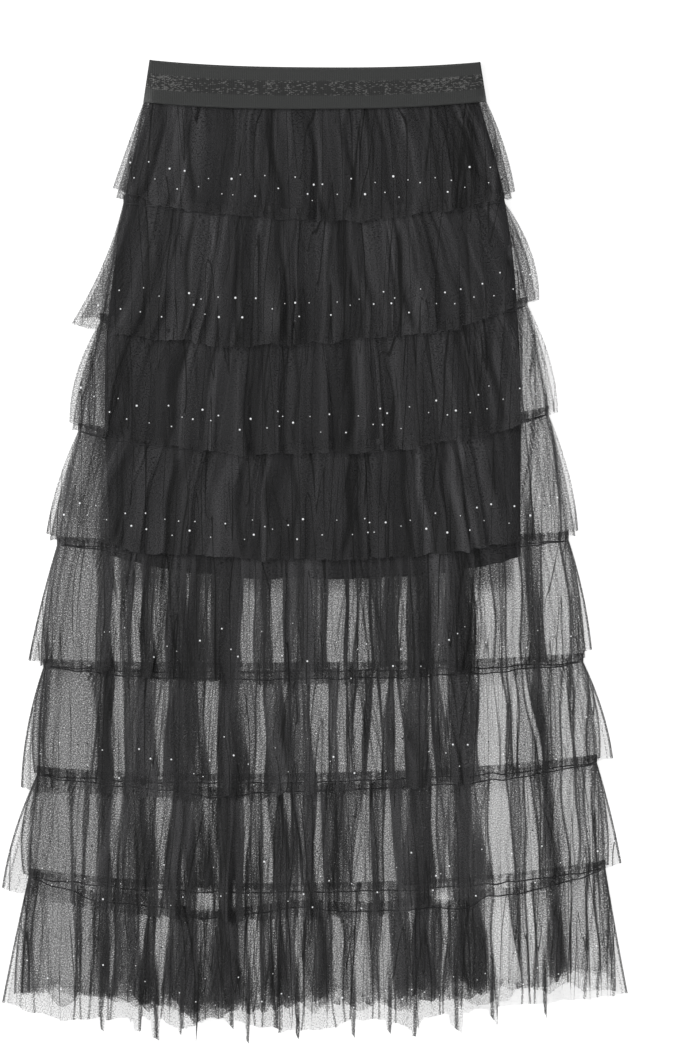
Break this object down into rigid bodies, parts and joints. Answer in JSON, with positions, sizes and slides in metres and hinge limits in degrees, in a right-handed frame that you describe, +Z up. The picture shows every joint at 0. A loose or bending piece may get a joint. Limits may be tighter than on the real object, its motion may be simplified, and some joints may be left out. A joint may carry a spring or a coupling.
{
  "type": "layered skirt",
  "caption": "Long layered skirt of gathered black net ruffle tiers over a knee-high opaque lining, with a wide elastic waistband, laid flat.",
  "frame": {"origin": "middle of the flat underside, on the surface that the skirt lies on", "axes": "+Z up off that surface and out of the front panels, +Y from the hem to the waistband, +X to the right of someone looking at the front"},
  "size_m": [0.5952, 0.9288, 0.0228],
  "materials": {
    "elastic": "matt woven elastic with a glittering metallic stripe along its middle",
    "lining": "matt opaque fine jersey",
    "net": "sheer soft tulle net with a faint silky sheen",
    "stones": "small silver faceted heat-set stones"
  },
  "bodies": {
    "root": {"waistband_front": "elastic", "waistband_back": "elastic", "lining_front": "lining", "lining_back": "lining", "base_front": "net", "base_back": "net", "tier_1_front": "net", "tier_1_back": "net", "tier_2_front": "net", "tier_2_back": "net", "tier_3_front": "net", "tier_3_back": "net", "tier_4_front": "net", "tier_4_back": "net", "tier_5_front": "net", "tier_5_back": "net", "tier_6_front": "net", "tier_6_back": "net", "tier_7_front": "net", "tier_7_back": "net", "tier_8_front": "net", "tier_8_back": "net"}
  },
  "joints": []
}
